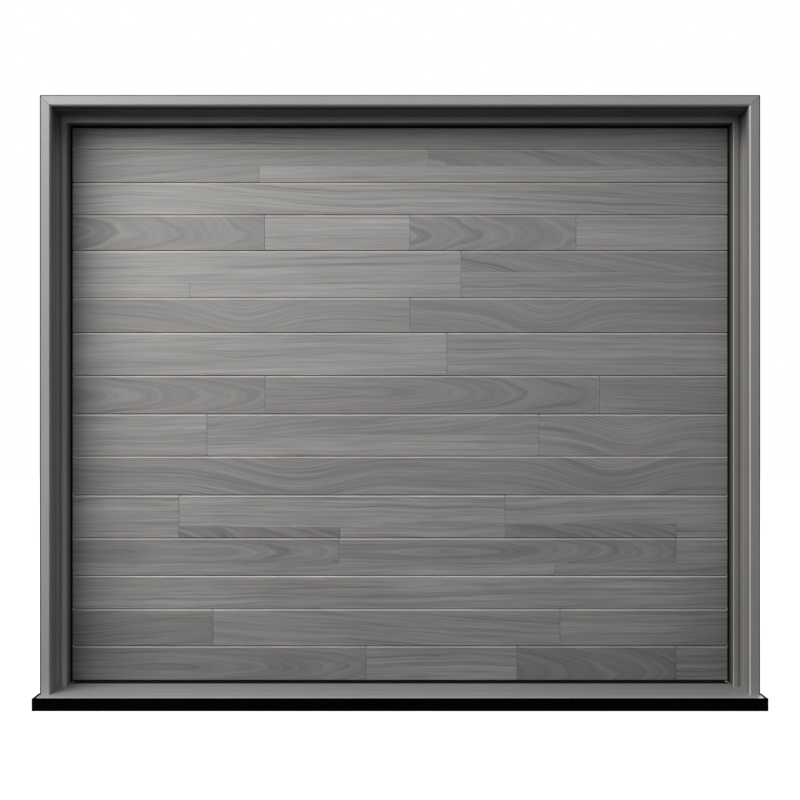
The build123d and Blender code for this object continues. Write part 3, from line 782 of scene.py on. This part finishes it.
def make_frame_fasteners():
    """Bolts of the brackets, lintel flange and foot plates, and screws of covers and channels."""
    shapes = []
    for side in (-1, 1):
        low, high = corners("pivot_bracket_right")
        middle = (low + high) / 2
        plate_x = float(corners("counterweight_casing_right")[0][0]) - BRACKET_PLATE
        for step in (-1, 1):
            place = (side * plate_x, middle[1], middle[2] + step * BRACKET_HALF)
            shapes += hexagon_bolt(place, (-side, 0, 0), *BRACKET_BOLT)
        low, high = corners("foot_plate_right")
        for step in (-1, 1):
            x = (low[0] + high[0]) / 2 + step * ANCHOR_HALF
            shapes += hexagon_bolt((side * x, (low[1] + high[1]) / 2, high[2]), (0, 0, 1), *ANCHOR_BOLT,
                                   stud=ANCHOR_STUD)
        low, high = corners("counterweight_casing_right")
        for x in (low[0] + COVER_EDGE, high[0] - COVER_EDGE):
            for z in COVER_SCREW_HEIGHTS:
                shapes.append(pan_head((side * x, high[1], z), (0, 1, 0), *COVER_SCREW))
        low, high = corners("guide_channel_right")
        for z in np.linspace(CHANNEL_LOWEST, high[2] - CHANNEL_BELOW_END, CHANNEL_SCREWS):
            place = (side * (high[0] - CHANNEL_WALL), (low[1] + high[1]) / 2, z)
            shapes.append(pan_head(place, (-side, 0, 0), *CHANNEL_SCREW))
    low, high = corners("lintel_flange")
    for x in LINTEL_BOLTS:
        shapes += hexagon_bolt((x, high[1], (low[2] + high[2]) / 2), (0, 1, 0), *LINTEL_BOLT)
    points, faces = gather(shapes)
    make_piece("frame_fasteners", points, faces, BOLTS, "frame", smooth=False)


def make_leaf_fasteners():
    """Screws through the sheet into each course, in columns between the tubes."""
    back = float(corners("leaf_sheet")[1][1])
    shapes = []
    for x in LEAF_SCREW_COLUMNS:
        for course in range(len(COURSES)):
            for share in LEAF_SCREW_SHARES:
                z = COURSE_TOPS[course + 1] + share * COURSES[course]
                if LEAF_LOW[2] + RAIL_ZONE < z < LEAF_HIGH[2] - RAIL_ZONE:
                    shapes.append(pan_head((x, back, z), (0, 1, 0), *COVER_SCREW))
                    shapes.append(pan_head((-x, back, z), (0, 1, 0), *COVER_SCREW))
    points, faces = gather(shapes)
    make_piece("board_screws", points, faces, BOLTS, "leaf", smooth=False)


def brush(start, end, root, tip):
    """A brush strip: the place of each point along the frame, its depth and its reach, and its faces.

    Its tip wavers with two sines of the place along it, and its last third is rounded: there the
    reach falls short by one minus the sine of the section's turn."""
    middle = float(corners("edge_seal_head")[0][1]) + BRUSH_BEHIND
    along = np.linspace(start, end, BRUSH_STATIONS)
    wave = tip + BRUSH_WAVER * sum(np.sin(along * turns) for turns in BRUSH_TURNS)
    turn = np.linspace(0, np.pi, ROUND_STEPS)
    rise = np.concatenate([[1.0], BRUSH_ROUNDED * (1 - np.sin(turn)), [1.0]])
    aside = BRUSH_HALF * np.concatenate([[1.0], np.cos(turn), [-1.0]])
    reach = wave[:, None] + rise * (root - wave[:, None])
    rows, columns = reach.shape
    around = np.arange(columns)
    faces = list(tile(rows, columns, closed=True)) + [around[::-1], (rows - 1) * columns + around]
    return np.repeat(along, columns), np.tile(middle + aside, rows), reach.ravel(), faces


def make_brushes():
    """Brush seals under the frame's head and along its jambs: no daylight shows round the leaf."""
    low, high = corners("edge_seal_head")
    x, y, z, faces = brush(low[0] + BRUSH_OFF, high[0] - BRUSH_OFF, low[2] + BRUSH_ROOT,
                           LEAF_HIGH[2] + BRUSH_OFF)
    shapes = [(np.stack([x, y, z], -1), faces)]
    low, high = corners("edge_seal_right")
    z, y, x, faces = brush(low[2] + BRUSH_OFF, LEAF_HIGH[2], low[0] + BRUSH_ROOT, END + BRUSH_OFF)
    shapes.append((np.stack([x, y, z], -1), [face[::-1] for face in faces]))
    shapes.append((np.stack([-x, y, z], -1), faces))
    points, faces = gather(shapes)
    make_piece("frame_brushes", points, faces, FINISHES["black_rubber"], "frame")


def make_welds():
    """Weld beads in the corners where studs and stiles meet the two rails."""
    front, back = float(corners("leaf_sheet")[1][1]) + BEAD_START, float(LEAF_HIGH[1]) + BEAD_END
    head = float(corners("leaf_rail_top")[0][2])
    foot = float(corners("leaf_rail_foot")[1][2])
    shapes = []
    # Where a tube's side stands along X, and which way it faces
    edges = []
    for number in (1, 2, 3):
        low, high = corners("leaf_stud_" + str(number))
        edges += [(float(low[0]), -1), (float(high[0]), 1)]
    edges.append((float(corners("leaf_stile_left")[1][0]), 1))
    edges.append((float(corners("leaf_stile_right")[0][0]), -1))
    for x, side in edges:
        for z, up in ((head, -1), (foot, 1)):
            shapes.append(weld_bead((x, front, z), (x, back, z), (side, 0, 0), (0, 0, up), BEAD))
    points, faces = gather(shapes)
    make_piece("leaf_welds", points, faces, WELDS, "leaf")


# Stage, light and camera

def make_stage():
    """A plain pale floor: to the camera it is nearly white with faint shadows, and white further
    out; to every other ray it is dark, so that it throws little light up under the head."""
    half = 12.0
    near, far, near_glow = 1.8, 4.0, 0.84
    pale_grey, dull_grey = 0.5, 0.05
    mesh = bpy.data.meshes.new("studio_floor")
    mesh.from_pydata([(-half, -half, 0), (half, -half, 0), (half, half, 0), (-half, half, 0)], [],
                     [(0, 1, 2, 3)])
    floor = bpy.data.objects.new("studio_floor", mesh)
    bpy.context.scene.collection.objects.link(floor)
    material = bpy.data.materials.new("pale_floor")
    material.use_nodes = True
    tree = material.node_tree
    tree.nodes.clear()
    place = tree.nodes.new("ShaderNodeTexCoord")
    distance = tree.nodes.new("ShaderNodeVectorMath")
    distance.operation = "LENGTH"
    tree.links.new(place.outputs["Object"], distance.inputs[0])
    glow = tree.nodes.new("ShaderNodeMapRange")
    for key, number in (("From Min", near), ("From Max", far), ("To Min", near_glow), ("To Max", 1.0)):
        glow.inputs[key].default_value = number
    tree.links.new(distance.outputs["Value"], glow.inputs["Value"])
    emission = tree.nodes.new("ShaderNodeEmission")
    tree.links.new(glow.outputs["Result"], emission.inputs["Strength"])
    pale = tree.nodes.new("ShaderNodeBsdfDiffuse")
    pale.inputs["Color"].default_value = (pale_grey, pale_grey, pale_grey, 1)
    seen = tree.nodes.new("ShaderNodeAddShader")
    tree.links.new(emission.outputs[0], seen.inputs[0])
    tree.links.new(pale.outputs[0], seen.inputs[1])
    dull = tree.nodes.new("ShaderNodeBsdfDiffuse")
    dull.inputs["Color"].default_value = (dull_grey, dull_grey, dull_grey, 1)
    ray = tree.nodes.new("ShaderNodeLightPath")
    mix = tree.nodes.new("ShaderNodeMixShader")
    tree.links.new(ray.outputs["Is Camera Ray"], mix.inputs["Fac"])
    tree.links.new(dull.outputs[0], mix.inputs[1])
    tree.links.new(seen.outputs[0], mix.inputs[2])
    out = tree.nodes.new("ShaderNodeOutputMaterial")
    tree.links.new(mix.outputs[0], out.inputs["Surface"])
    mesh.materials.append(material)


# Lights by name, place, aim, size in metres and strength in watts
LIGHTS = (
    ("key", (-2.60, -2.10, 3.65), (0.9, 0.18, -0.2), 2.8, 168.0),
    ("front_fill", (2.5, -3.0, 2.4), (0.0, 0.18, 1.1), 2.0, 5.0),
    ("rear_fill", (2.9, 4.2, 3.7), (0.0, 0.3, 1.1), 1.8, 130.0),
)


def area_light(name, place, aim, size, watts):
    """A square soft light at a place, turned towards its aim."""
    light = bpy.data.lights.new(name, "AREA")
    light.shape = "SQUARE"
    light.size = size
    light.energy = watts
    holder = bpy.data.objects.new(name, light)
    holder.location = place
    holder.rotation_euler = (Vector(aim) - Vector(place)).to_track_quat("-Z", "Y").to_euler()
    bpy.context.scene.collection.objects.link(holder)


def make_world():
    """White behind the door for the camera, a dim even fill for every other ray."""
    fill, seen = 0.35, 1.0
    world = bpy.data.worlds.new("studio")
    bpy.context.scene.world = world
    world.use_nodes = True
    tree = world.node_tree
    back = tree.nodes["Background"]
    back.inputs["Color"].default_value = (1, 1, 1, 1)
    ray = tree.nodes.new("ShaderNodeLightPath")
    strength = tree.nodes.new("ShaderNodeMapRange")
    strength.inputs["To Min"].default_value = fill
    strength.inputs["To Max"].default_value = seen
    tree.links.new(ray.outputs["Is Camera Ray"], strength.inputs["Value"])
    tree.links.new(strength.outputs["Result"], back.inputs["Strength"])


def make_camera():
    """The photograph's view: level, square to the door, 4.1 m in front of its casing."""
    distance, height = 4.110, 1.125
    focal_length, film_width = 50.58, 36.0
    lens = bpy.data.cameras.new("photograph")
    lens.lens = focal_length
    lens.sensor_width = film_width
    holder = bpy.data.objects.new("photograph", lens)
    holder.location = (0.0, -distance, height)
    holder.rotation_euler = (np.pi / 2, 0.0, 0.0)
    bpy.context.scene.collection.objects.link(holder)
    bpy.context.scene.camera = holder


make_boards()
make_frame_fasteners()
make_leaf_fasteners()
make_welds()
make_brushes()
make_stage()
for light in LIGHTS:
    area_light(*light)
make_world()
make_camera()
bpy.context.scene.view_settings.view_transform = "Standard"
